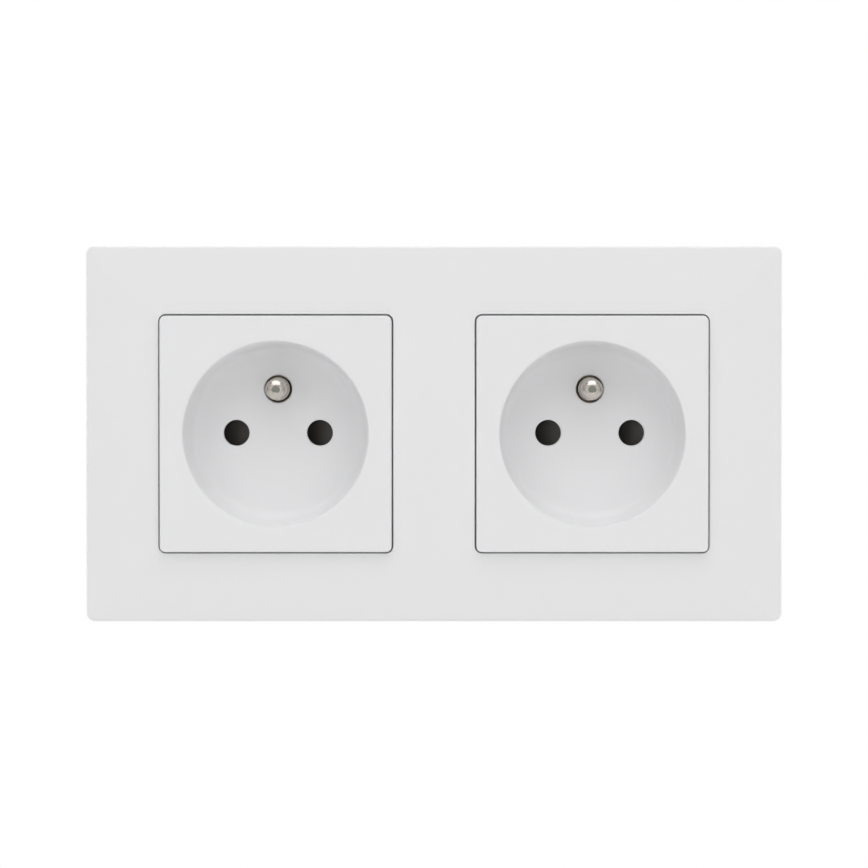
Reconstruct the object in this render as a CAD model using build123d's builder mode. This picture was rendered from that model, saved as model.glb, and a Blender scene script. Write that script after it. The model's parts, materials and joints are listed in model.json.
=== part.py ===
import os
from math import cos, radians, sin, sqrt

from build123d import *

# The wall plane is Y = 0, the room lies towards -Y and Z is up. A height is measured from the wall
# into the room, so a level inside the wall box is a negative height.

# Layout of the two gangs
gang_pitch = 71.0
pin_spacing = 19.0
pin_diameter = 4.8
earth_offset = 10.0
box_screw_inset = 5.5

# Cover frame
frame_side_margin = 16.75
frame_rail_margin = 15.75
frame_edge_height = 7.2
frame_crown_height = 9.6
frame_wall = 2.0
frame_corner = 1.7
frame_edge_round = 0.8
end_band_width = 20.0
window_reveal = 0.35
window_wall = 1.8
ledge_width = 1.6
ledge_thickness = 1.6
rib_thickness = 1.2
rib_clearance = 1.0
head_relief_width = 9.0
head_relief_height = 2.2

# Socket cover and its plug well
cover_margin = 4.5
cover_extra_height = 1.0
cover_corner = 1.3
cover_edge_round = 0.4
cover_face_height = 10.4
cover_plate = 2.0
skirt_wall = 1.8
well_depth = 15.0
well_floor_diameter = 39.6
well_draft = 0.65
well_lip_round = 0.9
well_floor_round = 1.2
well_floor_thickness = 2.4
cup_wall = 1.05
pin_hole_clearance = 0.45
pin_hole_chamfer = 0.25
earth_hole_clearance = 0.5
hook_offset = 5.2
hook_width = 4.0
hook_thickness = 1.6
hook_catch = 0.8
hook_length = 10.8
hook_nose = 1.9

# Earth pin
earth_pin_exposed = 14.0
earth_pin_tip = 2.2
earth_pin_flat = 0.95
earth_pin_dimple = 0.15
earth_shoulder = 0.25
rivet_neck_diameter = 3.0
rivet_head_diameter = 4.4
rivet_head_height = 1.0

# Shutter, spring and carrier
shutter_travel = 6.2
shutter_thickness = 4.4
ramp_length = 6.4
ramp_foot = 0.6
ramp_half_width = 3.5
rail_width = 1.4
lug_thickness = 1.5
lug_height = 3.0
lug_right_face = -4.0
spring_length = 13.0
spring_coil_diameter = 2.1
spring_wire = 0.35
spring_turns = 8
carrier_floor = 1.3
carrier_hole_room = 0.15

# Base, yoke and their clearances
base_margin = 2.5
base_corner = 11.0
base_rear_depth = 28.0
base_rear_wall = 2.0
base_rear_chamfer = 0.8
base_wall = 2.6
core_wall = 1.5
core_round = 0.5
core_cells = 3
flange_corner = 3.0
flange_thickness = 2.2
seat_clearance = 0.1
slide_clearance = 0.2
cup_clearance = 0.3
yoke_corner = 5.0
yoke_thickness = 1.2
yoke_clearance = 0.3
yoke_slot_length = 7.0
yoke_hole_diameter = 4.2
yoke_tab_width = 10.0
yoke_tab_length = 8.0
yoke_window_width = 6.0
yoke_window_height = 2.6
yoke_window_depth = 4.4
lug_catch = 1.0

# Contacts and terminals
strip_thickness = 0.8
strip_width = 6.4
strip_bend = 1.0
strip_drop = 0.8
clip_web_offset = 3.3
clip_rear_room = 2.0
clip_neck = 4.3
clip_mouth = 6.0
clip_heel = 5.6
clip_leaf_height = 6.6
terminal_inset = 8.5
terminal_bar_rear_room = 1.0
cage_front_room = 1.7
cage_rear_room = 2.4
cage_inner_width = 6.8
cage_wall = 1.3
cage_nut_wall = 2.0
cage_screw_room = 2.7
cage_wire_room = 2.7
screw_diameter = 3.5
screw_head_diameter = 5.8
screw_head_height = 2.0
screw_slot_width = 0.9
screw_slot_depth = 1.0
screw_clearance = 0.05
screw_access_diameter = 6.6
wire_entry_diameter = 5.0
wire_entry_funnel = 0.5
pocket_clearance = 0.3
shelf_clearance = 0.05

# Sizes that follow from the dimensions above
box_screw_spacing = gang_pitch - 2 * box_screw_inset
pin_hole_diameter = pin_diameter + 2 * pin_hole_clearance
carrier_pin_hole_diameter = pin_hole_diameter + 2 * carrier_hole_room
earth_shoulder_diameter = pin_diameter + 2 * earth_shoulder
earth_hole_diameter = earth_shoulder_diameter + 2 * earth_hole_clearance
well_mouth_diameter = well_floor_diameter + 2 * well_draft
cup_diameter = well_mouth_diameter + 2 * cup_wall
cover_width = cup_diameter + 2 * cover_margin
cover_height = cover_width + cover_extra_height
frame_width = gang_pitch + cover_width + 2 * frame_side_margin
frame_height = cover_height + 2 * frame_rail_margin
hook_radius = cup_diameter / 2 + hook_offset
carrier_diameter = cup_diameter - slide_clearance
base_width = cup_diameter + 2 * base_margin
flange_width = cover_width
flange_height = cover_height - 2 * slide_clearance
yoke_width = gang_pitch - 2 * yoke_clearance
terminal_bar_offset = base_width / 2 - terminal_inset

# Levels that follow from the dimensions above
gang_centres = {"left": -gang_pitch / 2, "right": gang_pitch / 2}
pin_half = pin_spacing / 2
pin_radius = pin_diameter / 2
floor_level = cover_face_height - well_depth
floor_rear_level = floor_level - well_floor_thickness
plate_rear_level = cover_face_height - cover_plate
flange_rear_level = yoke_thickness + seat_clearance
flange_front_level = flange_rear_level + flange_thickness
ledge_rear_level = flange_front_level + seat_clearance
ledge_front_level = ledge_rear_level + ledge_thickness
skirt_level = ledge_front_level + seat_clearance
shutter_front_level = floor_rear_level - seat_clearance - slide_clearance
shutter_rear_level = shutter_front_level - shutter_thickness
channel_level = shutter_rear_level - slide_clearance
carrier_front_level = floor_rear_level - seat_clearance
carrier_rear_level = channel_level - carrier_floor
deck_level = carrier_rear_level - seat_clearance
strip_front_level = deck_level - strip_drop
strip_rear_level = strip_front_level - strip_thickness
shelf_level = strip_rear_level - shelf_clearance
base_inner_level = base_rear_wall - base_rear_depth
clip_rear_depth = -base_inner_level - clip_rear_room
terminal_bar_rear_depth = -base_inner_level - terminal_bar_rear_room
cage_front_depth = cage_front_room - strip_rear_level
cage_rear_depth = -base_inner_level - cage_rear_room
cage_length = cage_rear_depth - cage_front_depth
cage_depth = (cage_front_depth + cage_rear_depth) / 2
cage_inner_low = terminal_bar_offset - strip_thickness / 2 - cage_wire_room
cage_inner_high = terminal_bar_offset + strip_thickness / 2 + cage_screw_room
cage_low = cage_inner_low - cage_wall
cage_high = cage_inner_high + cage_nut_wall
hook_inner = hook_radius - hook_thickness / 2
hook_outer = hook_radius + hook_thickness / 2
hook_end_level = plate_rear_level - hook_length
wire_offset = cage_inner_low + cage_wire_room / 2
spring_axis_offset = ramp_half_width + rail_width + lug_height / 2 + slide_clearance
spring_axis_level = (shutter_front_level + shutter_rear_level) / 2
rail_outer = ramp_half_width + rail_width
strap_reach = (strip_width + strip_thickness) / 2


def front_of(centre_x):
    return Plane(origin=(centre_x, 0, 0), x_dir=(1, 0, 0), z_dir=(0, -1, 0))


def side_of(centre_x):
    return Plane(origin=(centre_x, 0, 0), x_dir=(0, 0, 1), z_dir=(1, 0, 0))


def top_of(centre_x):
    return Plane(origin=(centre_x, 0, 0), x_dir=(1, 0, 0), z_dir=(0, 0, -1))


# Cover frame: two crowned profiles crossed at right angles give the pillow with mitred corners
half_width = frame_width / 2
half_height = frame_height / 2
crown_rise = frame_crown_height - frame_edge_height
crown_radius = (half_height**2 + crown_rise**2) / (2 * crown_rise)
crown_centre = frame_crown_height - crown_radius
hollow_half_width = half_width - frame_wall
hollow_half_height = half_height - frame_wall
hollow_radius = crown_radius - frame_wall
hollow_crown = frame_crown_height - frame_wall
hollow_edge = crown_centre + sqrt(hollow_radius**2 - hollow_half_height**2)
end_band = half_width - end_band_width
crown_band = crown_centre + sqrt(crown_radius**2 - (half_height - end_band_width) ** 2)
hollow_band = crown_centre + sqrt(hollow_radius**2 - (half_height - end_band_width) ** 2)
roof = end_band - end_band_width / 2
roof_height = frame_crown_height + 1
wall_front = front_of(0)

with BuildPart() as frame_hollow:
    with BuildSketch(side_of(-half_width)):
        with BuildLine():
            ThreePointArc(
                (-hollow_half_height, hollow_edge),
                (0, hollow_crown),
                (hollow_half_height, hollow_edge),
            )
            Polyline(
                (hollow_half_height, hollow_edge),
                (hollow_half_height, -1),
                (-hollow_half_height, -1),
                (-hollow_half_height, hollow_edge),
            )
        make_face()
    extrude(amount=frame_width, dir=(1, 0, 0))
    with BuildSketch(Plane(origin=(0, 0, half_height), x_dir=(1, 0, 0), z_dir=(0, 0, -1))):
        with BuildLine():
            RadiusArc((end_band, hollow_band), (hollow_half_width, hollow_edge), hollow_radius)
            RadiusArc((-hollow_half_width, hollow_edge), (-end_band, hollow_band), hollow_radius)
            Polyline(
                (-end_band, hollow_band),
                (-roof, roof_height),
                (roof, roof_height),
                (end_band, hollow_band),
            )
            Polyline(
                (hollow_half_width, hollow_edge),
                (hollow_half_width, -1),
                (-hollow_half_width, -1),
                (-hollow_half_width, hollow_edge),
            )
        make_face()
    extrude(amount=frame_height, dir=(0, 0, -1), mode=Mode.INTERSECT)

window_width = cover_width + 2 * window_reveal
window_height = cover_height + 2 * window_reveal
window_corner = cover_corner + window_reveal
rib_rear_level = yoke_thickness + rib_clearance
hollow_window = crown_centre + sqrt(hollow_radius**2 - (window_height / 2) ** 2)
rib_front_level = (hollow_window + frame_edge_height) / 2
window_block_level = frame_crown_height - 0.7 * frame_wall

with BuildPart() as cover_frame:
    with BuildSketch(wall_front):
        RectangleRounded(frame_width, frame_height, frame_corner)
    extrude(amount=roof_height)
    with BuildSketch(side_of(-half_width - 1)) as tall_profile:
        with BuildLine():
            ThreePointArc(
                (-half_height, frame_edge_height),
                (0, frame_crown_height),
                (half_height, frame_edge_height),
            )
            Polyline(
                (half_height, frame_edge_height),
                (half_height, 0),
                (-half_height, 0),
                (-half_height, frame_edge_height),
            )
        make_face()
        fillet(tall_profile.vertices().group_by(Axis.Y)[-1], frame_edge_round)
    extrude(amount=frame_width + 2, dir=(1, 0, 0), mode=Mode.INTERSECT)
    frame_top = Plane(origin=(0, 0, half_height + 1), x_dir=(1, 0, 0), z_dir=(0, 0, -1))
    with BuildSketch(frame_top) as long_profile:
        with BuildLine():
            RadiusArc((end_band, crown_band), (half_width, frame_edge_height), crown_radius)
            RadiusArc((-half_width, frame_edge_height), (-end_band, crown_band), crown_radius)
            Polyline(
                (-end_band, crown_band),
                (-roof, roof_height),
                (roof, roof_height),
                (end_band, crown_band),
            )
            Polyline(
                (half_width, frame_edge_height),
                (half_width, 0),
                (-half_width, 0),
                (-half_width, frame_edge_height),
            )
        make_face()
        fillet(long_profile.vertices().group_by(Axis.Y)[1], frame_edge_round)
    extrude(amount=frame_height + 2, dir=(0, 0, -1), mode=Mode.INTERSECT)
    add(frame_hollow.part, mode=Mode.SUBTRACT)
    with BuildSketch(wall_front.offset(flange_rear_level)):
        with Locations(*[(x, 0) for x in gang_centres.values()]):
            Rectangle(window_width + 2 * window_wall, window_height + 2 * window_wall)
    extrude(amount=window_block_level - flange_rear_level)
    with BuildSketch(wall_front.offset(rib_rear_level)):
        for x in (-gang_pitch / 2, gang_pitch / 2):
            with Locations((x - window_width / 4, 0), (x + window_width / 4, 0)):
                Rectangle(rib_thickness, frame_height - frame_wall)
        with Locations((0, -window_height / 4), (0, window_height / 4)):
            Rectangle(frame_width - frame_wall, rib_thickness)
    extrude(amount=rib_front_level - rib_rear_level)
    with BuildSketch(wall_front.offset(rib_rear_level)):
        with Locations((0, -window_height / 4), (0, window_height / 4)):
            Rectangle(gang_pitch - window_width, rib_thickness)
    extrude(amount=window_block_level - rib_rear_level)
    with BuildSketch(wall_front.offset(ledge_front_level)):
        with Locations(*[(x, 0) for x in gang_centres.values()]):
            RectangleRounded(window_width, window_height, window_corner)
    extrude(amount=frame_crown_height, mode=Mode.SUBTRACT)
    with BuildSketch(wall_front.offset(-1)):
        with Locations(*[(x, 0) for x in gang_centres.values()]):
            RectangleRounded(window_width, window_height, window_corner)
    extrude(amount=ledge_rear_level + 1, mode=Mode.SUBTRACT)
    with BuildSketch(wall_front.offset(-1)):
        with Locations(*[(x, 0) for x in gang_centres.values()]):
            RectangleRounded(window_width - 2 * ledge_width, window_height - 2 * ledge_width, window_corner)
    extrude(amount=frame_crown_height + 2, mode=Mode.SUBTRACT)
    with BuildSketch(wall_front.offset(flange_rear_level)):
        for x in gang_centres.values():
            with Locations((x - box_screw_spacing / 2, 0), (x + box_screw_spacing / 2, 0)):
                Rectangle(head_relief_width, head_relief_width)
            with Locations((x, -box_screw_spacing / 2), (x, box_screw_spacing / 2)):
                Rectangle(head_relief_width, head_relief_width)
    extrude(amount=head_relief_height, mode=Mode.SUBTRACT)
cover_frame.part.label = "cover_frame"


def make_cover(centre_x):
    front = front_of(centre_x)
    with BuildPart() as cover:
        with BuildSketch(front.offset(skirt_level)):
            RectangleRounded(cover_width, cover_height, cover_corner)
        extrude(amount=cover_face_height - skirt_level)
        fillet(cover.faces().sort_by(Axis.Y)[0].edges(), cover_edge_round)
        with BuildSketch(front.offset(skirt_level)):
            RectangleRounded(cover_width - 2 * skirt_wall, cover_height - 2 * skirt_wall, cover_corner)
        extrude(amount=plate_rear_level - skirt_level, mode=Mode.SUBTRACT)
        with BuildSketch(front.offset(floor_rear_level)):
            Circle(cup_diameter / 2)
        extrude(amount=plate_rear_level - floor_rear_level)
        with BuildSketch(top_of(centre_x)):
            with BuildLine():
                Polyline(
                    (0, floor_level),
                    (well_floor_diameter / 2, floor_level),
                    (well_mouth_diameter / 2, cover_face_height),
                    (0, cover_face_height),
                    close=True,
                )
            make_face()
        revolve(axis=Axis((centre_x, 0, 0), (0, 1, 0)), mode=Mode.SUBTRACT)
        rings = cover.edges().filter_by(GeomType.CIRCLE)
        fillet(rings.filter_by(lambda e: abs(e.radius - well_mouth_diameter / 2) < 0.01), well_lip_round)
        rings = cover.edges().filter_by(GeomType.CIRCLE)
        fillet(rings.filter_by(lambda e: abs(e.radius - well_floor_diameter / 2) < 0.01), well_floor_round)
        with BuildSketch(front.offset(floor_level)):
            with Locations((-pin_half, 0), (pin_half, 0)):
                Circle(pin_hole_diameter / 2)
            with Locations((0, earth_offset)):
                Circle(earth_hole_diameter / 2)
        extrude(amount=-well_floor_thickness, mode=Mode.SUBTRACT)
        mouths = cover.edges().filter_by(GeomType.CIRCLE)
        mouths = mouths.filter_by_position(Axis.Y, -floor_level, -floor_level)
        chamfer(mouths.filter_by(lambda e: e.radius < earth_hole_diameter), pin_hole_chamfer)
        for turn in (45, 135, 225, 315):
            outward = (cos(radians(turn)), 0, sin(radians(turn)))
            across = (outward[2], 0, -outward[0])
            with BuildSketch(Plane(origin=(centre_x, 0, 0), x_dir=outward, z_dir=across)):
                with BuildLine():
                    Polyline(
                        (hook_inner, plate_rear_level + cover_plate / 4),
                        (hook_inner, hook_end_level),
                        (hook_outer, hook_end_level),
                        (hook_outer + hook_catch, hook_end_level + hook_nose / 2),
                        (hook_outer + hook_catch, hook_end_level + hook_nose),
                        (hook_outer, hook_end_level + hook_nose),
                        (hook_outer, plate_rear_level + cover_plate / 4),
                        close=True,
                    )
                make_face()
            extrude(amount=hook_width / 2, both=True)
    return cover.part


def make_shutter(centre_x):
    front = front_of(centre_x)
    with BuildPart() as shutter:
        with BuildSketch(top_of(centre_x)):
            for x in (-pin_half, pin_half):
                with BuildLine():
                    Polyline(
                        (x - ramp_length / 2, shutter_rear_level),
                        (x - ramp_length / 2, shutter_rear_level + ramp_foot),
                        (x + ramp_length / 2, shutter_front_level),
                        (x + ramp_length / 2, shutter_rear_level),
                        close=True,
                    )
                make_face()
        extrude(amount=ramp_half_width, both=True)
        with BuildSketch(front.offset(shutter_rear_level)):
            with Locations((0, ramp_half_width + rail_width / 2), (0, -ramp_half_width - rail_width / 2)):
                Rectangle(pin_spacing + ramp_length, rail_width)
            with Locations((lug_right_face, -rail_outer)):
                Rectangle(lug_thickness, lug_height, align=(Align.MAX, Align.MAX))
        extrude(amount=shutter_thickness)
    return shutter.part


def make_spring(centre_x):
    coil_length = spring_length - spring_wire - 2 * shelf_clearance
    start_x = centre_x + lug_right_face + (spring_length - coil_length) / 2
    start = (start_x, -spring_axis_level, -spring_axis_offset)
    with BuildPart() as spring:
        with BuildLine() as coil:
            Helix(
                pitch=coil_length / spring_turns,
                height=coil_length,
                radius=spring_coil_diameter / 2,
                center=start,
                direction=(1, 0, 0),
            )
        with BuildSketch(Plane(origin=coil.line @ 0, z_dir=coil.line % 0)):
            Circle(spring_wire / 2)
        sweep(is_frenet=True)
    return spring.part


def make_carrier(centre_x):
    front = front_of(centre_x)
    channel_start = -pin_half - ramp_length / 2 - pocket_clearance
    channel_end = pin_half + ramp_length / 2 + shutter_travel + pocket_clearance
    channel_half = rail_outer + slide_clearance
    pocket_start = lug_right_face - lug_thickness - pocket_clearance
    pocket_end = lug_right_face + spring_length
    with BuildPart() as carrier:
        with BuildSketch(front.offset(carrier_rear_level)):
            Circle(carrier_diameter / 2)
        extrude(amount=carrier_front_level - carrier_rear_level)
        with BuildSketch(front.offset(channel_level)):
            with Locations((channel_start, -channel_half)):
                Rectangle(channel_end - channel_start, 2 * channel_half, align=(Align.MIN, Align.MIN))
            with Locations((pocket_start, -channel_half)):
                Rectangle(
                    pocket_end - pocket_start,
                    lug_height + pocket_clearance,
                    align=(Align.MIN, Align.MAX),
                )
        extrude(amount=carrier_front_level - channel_level, mode=Mode.SUBTRACT)
        with BuildSketch(front.offset(carrier_rear_level)):
            with Locations((-pin_half, 0), (pin_half, 0)):
                Circle(carrier_pin_hole_diameter / 2)
            with Locations((0, earth_offset)):
                Circle(earth_hole_diameter / 2)
        extrude(amount=carrier_front_level - carrier_rear_level, mode=Mode.SUBTRACT)
    return carrier.part


def make_earth_pin(centre_x):
    tip_level = floor_level + earth_pin_exposed
    shoulder_radius = earth_shoulder_diameter / 2
    head_level = strip_rear_level - rivet_head_height
    with BuildPart() as pin:
        with BuildSketch(Plane(origin=(centre_x, 0, earth_offset), x_dir=(1, 0, 0), z_dir=(0, 0, -1))):
            with BuildLine():
                TangentArc(
                    (pin_radius, tip_level - earth_pin_tip),
                    (earth_pin_flat, tip_level),
                    tangent=(0, 1),
                )
                Polyline(
                    (earth_pin_flat, tip_level),
                    (earth_pin_flat, tip_level - earth_pin_dimple),
                    (0, tip_level - earth_pin_dimple),
                    (0, head_level),
                    (rivet_head_diameter / 2, head_level),
                    (rivet_head_diameter / 2, strip_rear_level),
                    (rivet_neck_diameter / 2, strip_rear_level),
                    (rivet_neck_diameter / 2, strip_front_level),
                    (shoulder_radius, strip_front_level),
                    (shoulder_radius, floor_level),
                    (pin_radius, floor_level),
                    (pin_radius, tip_level - earth_pin_tip),
                )
            make_face()
        revolve(axis=Axis((centre_x, 0, earth_offset), (0, 1, 0)))
    return pin.part


def make_earth_strap(centre_x):
    bar_middle = terminal_bar_offset
    strip_middle = strip_front_level - strip_thickness / 2
    with BuildPart() as strap:
        with BuildSketch(side_of(centre_x)):
            with BuildLine():
                FilletPolyline(
                    (earth_offset - strap_reach + strip_thickness / 2, strip_middle),
                    (bar_middle, strip_middle),
                    (bar_middle, -terminal_bar_rear_depth),
                    radius=strip_bend,
                )
                offset(amount=strip_thickness / 2, side=Side.BOTH)
            make_face()
        extrude(amount=strip_width / 2, both=True)
        with BuildSketch(front_of(centre_x).offset(strip_rear_level)):
            with Locations((0, earth_offset)):
                Circle(rivet_neck_diameter / 2)
        extrude(amount=strip_thickness, mode=Mode.SUBTRACT)
    return strap.part


def make_contact(centre_x):
    strip_middle = strip_front_level - strip_thickness / 2
    with BuildPart() as contact:
        with BuildSketch(side_of(centre_x)):
            with BuildLine():
                FilletPolyline(
                    (-clip_web_offset, -clip_rear_depth),
                    (-clip_web_offset, strip_middle),
                    (-terminal_bar_offset, strip_middle),
                    (-terminal_bar_offset, -terminal_bar_rear_depth),
                    radius=strip_bend,
                )
                offset(amount=strip_thickness / 2, side=Side.BOTH)
            make_face()
        extrude(amount=strip_width / 2, both=True)
        neck_level = strip_front_level - (clip_rear_depth + strip_front_level) / 3
        clip_web = Plane(origin=(centre_x, 0, -clip_web_offset), x_dir=(1, 0, 0), z_dir=(0, 0, -1))
        with BuildSketch(clip_web):
            for side in (-1, 1):
                with BuildLine():
                    Polyline(
                        (side * clip_mouth / 2, strip_front_level),
                        (side * clip_neck / 2, neck_level),
                        (side * clip_heel / 2, -clip_rear_depth),
                        (side * (clip_heel / 2 + strip_thickness), -clip_rear_depth),
                        (side * (clip_neck / 2 + strip_thickness), neck_level),
                        (side * (clip_mouth / 2 + strip_thickness), strip_front_level),
                        close=True,
                    )
                make_face()
        extrude(amount=clip_leaf_height, dir=(0, 0, 1))
    return contact.part


def make_cage(place):
    with BuildPart() as cage:
        with BuildSketch(place.offset(-cage_depth - cage_length / 2)):
            with Locations((0, (cage_low + cage_high) / 2)):
                Rectangle(cage_inner_width + 2 * cage_wall, cage_high - cage_low)
            with Locations((0, (cage_inner_low + cage_inner_high) / 2)):
                Rectangle(cage_inner_width, cage_inner_high - cage_inner_low, mode=Mode.SUBTRACT)
        extrude(amount=cage_length)
        nut = Plane(origin=place.from_local_coords((0, cage_inner_high, -cage_depth)), z_dir=place.y_dir)
        with BuildSketch(nut):
            Circle(screw_diameter / 2 + screw_clearance)
        extrude(amount=cage_nut_wall, mode=Mode.SUBTRACT)
    return cage.part


def make_screw(place):
    tip = terminal_bar_offset + strip_thickness / 2 + screw_clearance
    head = cage_high + seat_clearance
    with BuildPart() as screw:
        seat = Plane(origin=place.from_local_coords((0, tip, -cage_depth)), z_dir=place.y_dir)
        with BuildSketch(seat):
            Circle(screw_diameter / 2)
        extrude(amount=head - tip)
        with BuildSketch(seat.offset(head - tip)):
            Circle(screw_head_diameter / 2)
        extrude(amount=screw_head_height)
        with BuildSketch(seat.offset(head - tip + screw_head_height)):
            Rectangle(screw_head_diameter, screw_slot_width)
        extrude(amount=-screw_slot_depth, mode=Mode.SUBTRACT)
    return screw.part


def make_base(centre_x):
    front = front_of(centre_x)
    cavity_radius = cup_diameter / 2 + cup_clearance
    cage_half = cage_inner_width / 2 + cage_wall + pocket_clearance
    cage_pocket_low = cage_low - pocket_clearance
    cage_pocket_high = base_width / 2 - base_wall
    cage_pocket_middle = (cage_pocket_low + cage_pocket_high) / 2
    clip_half = clip_mouth / 2 + strip_thickness + pocket_clearance
    clip_low = clip_web_offset + strip_bend + shelf_clearance
    clip_high = clip_leaf_height - clip_web_offset + pocket_clearance
    strip_half = strip_width / 2 + pocket_clearance
    core_inner = pin_half + cage_half + core_wall
    core_outer = base_width / 2 - base_wall
    core_reach = base_width / 2 - base_corner
    cell_pitch = (2 * core_reach + core_wall) / core_cells
    top_inner = cage_half + core_wall
    terminals = [(-pin_half, -1), (pin_half, -1), (0, 1)]
    with BuildPart() as base:
        with BuildSketch(front.offset(-base_rear_depth)):
            RectangleRounded(base_width, base_width, base_corner)
        extrude(amount=base_rear_depth + flange_rear_level)
        chamfer(base.faces().sort_by(Axis.Y)[-1].edges(), base_rear_chamfer)
        with BuildSketch(front.offset(flange_rear_level)):
            RectangleRounded(flange_width, flange_height, flange_corner)
        extrude(amount=flange_thickness)
        with BuildSketch(front.offset(deck_level)):
            Circle(cavity_radius)
        extrude(amount=flange_front_level - deck_level, mode=Mode.SUBTRACT)
        with BuildSketch(front.offset(base_inner_level)):
            for x, way in terminals:
                with Locations((x, way * cage_pocket_middle)):
                    Rectangle(2 * cage_half, cage_pocket_high - cage_pocket_low)
            for x in (-pin_half, pin_half):
                with Locations((x, (clip_high - clip_low) / 2)):
                    Rectangle(2 * clip_half, clip_high + clip_low)
        extrude(amount=deck_level - base_inner_level, mode=Mode.SUBTRACT)
        with BuildSketch(front.offset(shelf_level)):
            with Locations((-pin_half, -clip_low), (pin_half, -clip_low)):
                Rectangle(
                    2 * strip_half,
                    cage_pocket_low - clip_low,
                    align=(Align.CENTER, Align.MAX),
                )
            with Locations((0, earth_offset - strap_reach - pocket_clearance)):
                Rectangle(2 * strip_half, cage_pocket_low, align=(Align.CENTER, Align.MIN))
        extrude(amount=deck_level - shelf_level, mode=Mode.SUBTRACT)
        with BuildSketch(front.offset(shelf_level)):
            with Locations((0, earth_offset)):
                Circle(rivet_head_diameter / 2 + pocket_clearance)
        extrude(amount=-rivet_head_height - pocket_clearance, mode=Mode.SUBTRACT)
        # The thick plastic beside the terminals is cored out from the rear, as a moulding is
        with BuildSketch(front.offset(-base_rear_depth)):
            for way in (-1, 1):
                with Locations((way * (core_inner + core_outer) / 2, 0)):
                    with GridLocations(0, cell_pitch, 1, core_cells):
                        RectangleRounded(core_outer - core_inner, cell_pitch - core_wall, core_round)
                with Locations((way * (top_inner + core_reach) / 2, cage_pocket_middle)):
                    RectangleRounded(core_reach - top_inner, cage_pocket_high - cage_pocket_low, core_round)
        extrude(amount=base_rear_depth + deck_level - base_rear_wall, mode=Mode.SUBTRACT)
        with BuildSketch(front.offset(-base_rear_depth)):
            with Locations(*[(x, way * wire_offset) for x, way in terminals]):
                Circle(wire_entry_diameter / 2)
        extrude(amount=base_rear_wall, mode=Mode.SUBTRACT)
        mouths = base.edges().filter_by(GeomType.CIRCLE)
        mouths = mouths.filter_by_position(Axis.Y, base_rear_depth, base_rear_depth)
        chamfer(mouths.filter_by(lambda e: e.radius < wire_entry_diameter), wire_entry_funnel)
        for x, way in terminals:
            hole_centre = front.from_local_coords((x, way * base_width / 2, -cage_depth))
            with BuildSketch(Plane(origin=hole_centre, z_dir=(0, 0, way))):
                Circle(screw_access_diameter / 2)
            extrude(amount=-base_wall, mode=Mode.SUBTRACT)
        with BuildSketch(front.offset(hook_end_level - pocket_clearance)):
            with PolarLocations(hook_radius, 4, start_angle=45):
                Rectangle(hook_thickness + 2 * pocket_clearance, hook_width + 2 * pocket_clearance)
        extrude(amount=flange_front_level - hook_end_level + pocket_clearance, mode=Mode.SUBTRACT)
        with BuildSketch(front.offset(hook_end_level - pocket_clearance)):
            with PolarLocations(hook_radius + hook_thickness, 4, start_angle=45):
                Rectangle(2 * hook_thickness, hook_width + 2 * pocket_clearance)
        extrude(amount=hook_nose + pocket_clearance + seat_clearance, mode=Mode.SUBTRACT)
        with BuildSketch(side_of(centre_x)):
            for way in (-1, 1):
                with BuildLine():
                    Polyline(
                        (way * base_width / 2, -yoke_window_depth - slide_clearance),
                        (way * (base_width / 2 + lug_catch), -yoke_window_depth - slide_clearance),
                        (way * base_width / 2, -yoke_window_depth - yoke_window_height + slide_clearance),
                        close=True,
                    )
                make_face()
        extrude(amount=yoke_window_width / 2 - slide_clearance, both=True)
    return base.part


def make_yoke(centre_x):
    front = front_of(centre_x)
    opening = base_width + 2 * yoke_clearance
    tab_middle = opening / 2 + yoke_thickness / 2
    with BuildPart() as yoke:
        with BuildSketch(front):
            RectangleRounded(yoke_width, yoke_width, yoke_corner)
            RectangleRounded(opening, opening, base_corner + yoke_clearance, mode=Mode.SUBTRACT)
            with Locations((0, -box_screw_spacing / 2), (0, box_screw_spacing / 2)):
                SlotOverall(yoke_slot_length, yoke_hole_diameter, mode=Mode.SUBTRACT)
            with Locations((-box_screw_spacing / 2, 0), (box_screw_spacing / 2, 0)):
                Circle(yoke_hole_diameter / 2, mode=Mode.SUBTRACT)
        extrude(amount=yoke_thickness)
        with BuildSketch(front):
            with Locations((0, -tab_middle), (0, tab_middle)):
                Rectangle(yoke_tab_width, yoke_thickness)
        extrude(amount=-yoke_tab_length)
        with BuildSketch(side_of(centre_x)):
            with Locations((0, -yoke_window_depth - yoke_window_height / 2)):
                Rectangle(yoke_width, yoke_window_height)
        extrude(amount=yoke_window_width / 2, both=True, mode=Mode.SUBTRACT)
    return yoke.part


def terminal_place(centre_x, way):
    return Plane(origin=(centre_x, 0, 0), x_dir=(way, 0, 0), z_dir=(0, -1, 0))


parts = {"cover_frame": cover_frame.part}
for gang, centre in gang_centres.items():
    live = terminal_place(centre + pin_half, -1)
    neutral = terminal_place(centre - pin_half, -1)
    earth = terminal_place(centre, 1)
    parts[gang + "_socket_cover"] = make_cover(centre)
    parts[gang + "_shutter"] = make_shutter(centre)
    parts[gang + "_shutter_spring"] = make_spring(centre)
    parts[gang + "_shutter_carrier"] = make_carrier(centre)
    parts[gang + "_socket_base"] = make_base(centre)
    parts[gang + "_mounting_yoke"] = make_yoke(centre)
    parts[gang + "_live_contact"] = make_contact(centre + pin_half)
    parts[gang + "_neutral_contact"] = make_contact(centre - pin_half)
    parts[gang + "_earth_pin"] = make_earth_pin(centre)
    parts[gang + "_earth_strap"] = make_earth_strap(centre)
    parts[gang + "_live_terminal"] = make_cage(live)
    parts[gang + "_neutral_terminal"] = make_cage(neutral)
    parts[gang + "_earth_terminal"] = make_cage(earth)
    parts[gang + "_terminal_screws"] = Compound(
        children=[make_screw(live), make_screw(neutral), make_screw(earth)]
    )

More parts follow.
